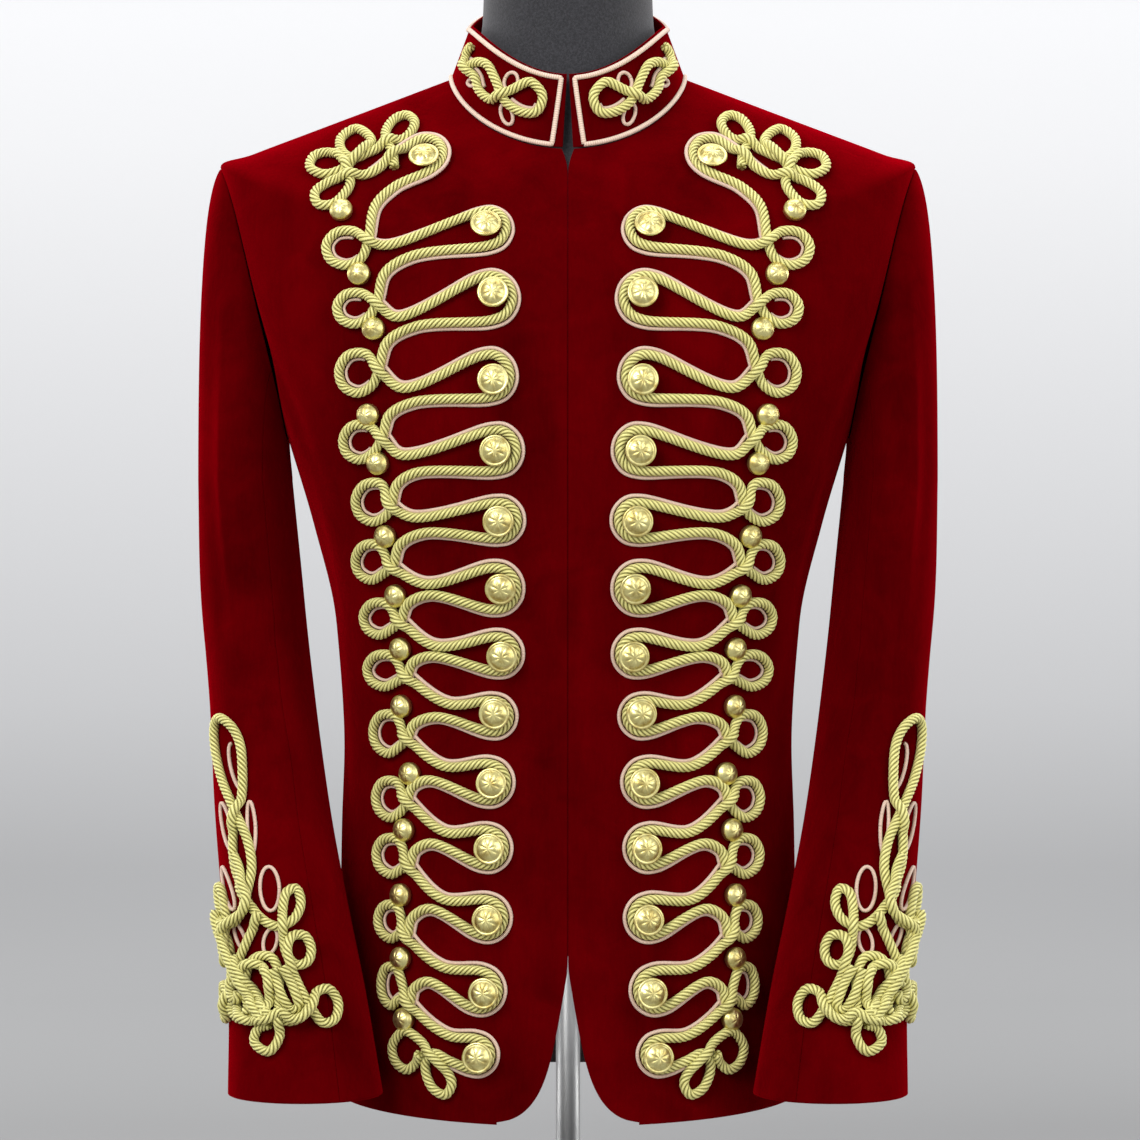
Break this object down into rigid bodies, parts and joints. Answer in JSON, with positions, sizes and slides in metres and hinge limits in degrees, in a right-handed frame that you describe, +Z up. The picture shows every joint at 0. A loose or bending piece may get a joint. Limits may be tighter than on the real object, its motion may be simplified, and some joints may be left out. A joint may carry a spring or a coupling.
{
  "type": "hussar jacket on a dress form",
  "caption": "Waist-length velvet hussar jacket with twisted cord frogging and domed buttons, standing on a limbless dress form with a pole and a round base",
  "frame": {"origin": "on the floor, at the middle of the round base", "axes": "+Z is up, the jacket faces -Y and +X is the wearer's left"},
  "size_m": [0.483, 0.3484, 0.885],
  "materials": {
    "velvet": "dark crimson cotton velvet with a short pile",
    "gold_cord": "twisted cord in pale lemon gold, edged with cream gimp",
    "button_brass": "pale gold plated domes with a low rosette",
    "form_fabric": "charcoal heather jersey",
    "stand_steel": "satin"
  },
  "bodies": {
    "root": {"form_body": "form_fabric", "stand_pole": "stand_steel", "stand_base": "stand_steel", "front_left": "velvet", "back_left": "velvet", "top_sleeve_left": "velvet", "under_sleeve_left": "velvet", "frogging_left": "gold_cord", "collar_knot_left": "gold_cord", "cuff_knot_left": "gold_cord", "button_left_01": "button_brass", "button_left_02": "button_brass", "button_left_03": "button_brass", "button_left_04": "button_brass", "button_left_05": "button_brass", "button_left_06": "button_brass", "button_left_07": "button_brass", "button_left_08": "button_brass", "button_left_09": "button_brass", "button_left_10": "button_brass", "button_left_11": "button_brass", "button_left_12": "button_brass", "button_left_13": "button_brass", "button_left_14": "button_brass", "front_right": "velvet", "back_right": "velvet", "top_sleeve_right": "velvet", "under_sleeve_right": "velvet", "frogging_right": "gold_cord", "collar_knot_right": "gold_cord", "cuff_knot_right": "gold_cord", "button_right_01": "button_brass", "button_right_02": "button_brass", "button_right_03": "button_brass", "button_right_04": "button_brass", "button_right_05": "button_brass", "button_right_06": "button_brass", "button_right_07": "button_brass", "button_right_08": "button_brass", "button_right_09": "button_brass", "button_right_10": "button_brass", "button_right_11": "button_brass", "button_right_12": "button_brass", "button_right_13": "button_brass", "button_right_14": "button_brass", "collar": "velvet"}
  },
  "joints": []
}
